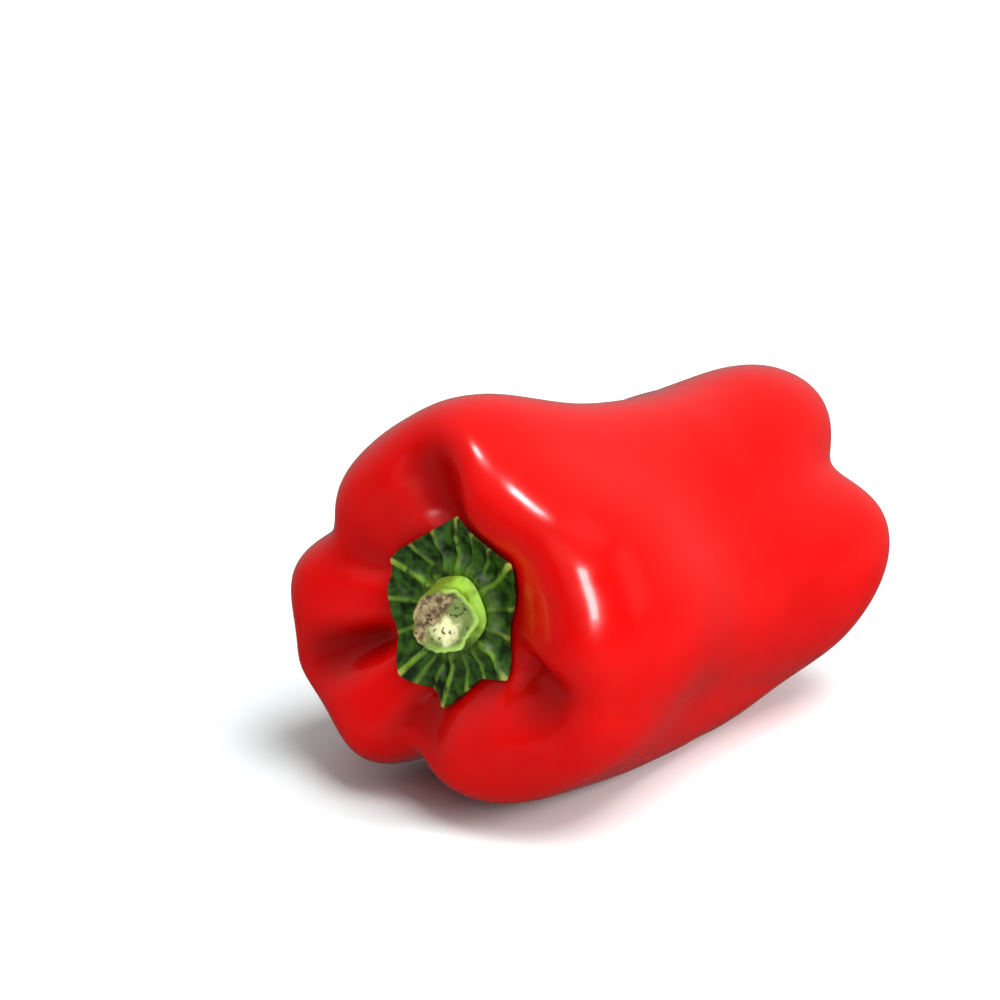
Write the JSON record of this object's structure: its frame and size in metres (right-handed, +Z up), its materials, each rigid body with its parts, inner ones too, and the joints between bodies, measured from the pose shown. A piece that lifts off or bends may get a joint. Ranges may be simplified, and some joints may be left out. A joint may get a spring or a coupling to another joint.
{
  "type": "bell pepper",
  "caption": "Red bell pepper as picked, lying on its side: a lobed glossy fruit with a sunken stem end, a ribbed green calyx with pointed tips and a short cut stem.",
  "frame": {"origin": "on the surface the pepper lies on, under the middle of its footprint", "axes": "+X along the fruit towards its blossom end, -X towards the stem, +Z up from the surface"},
  "size_m": [0.1238, 0.0872, 0.0796],
  "materials": {
    "red_skin": "smooth waxy gloss",
    "calyx_green": "ribbed leaf, satin",
    "stem_green": "ridged skin, dry fibrous cut face"
  },
  "bodies": {
    "root": {"fruit": "red_skin", "calyx": "calyx_green", "stem": "stem_green"}
  },
  "joints": []
}
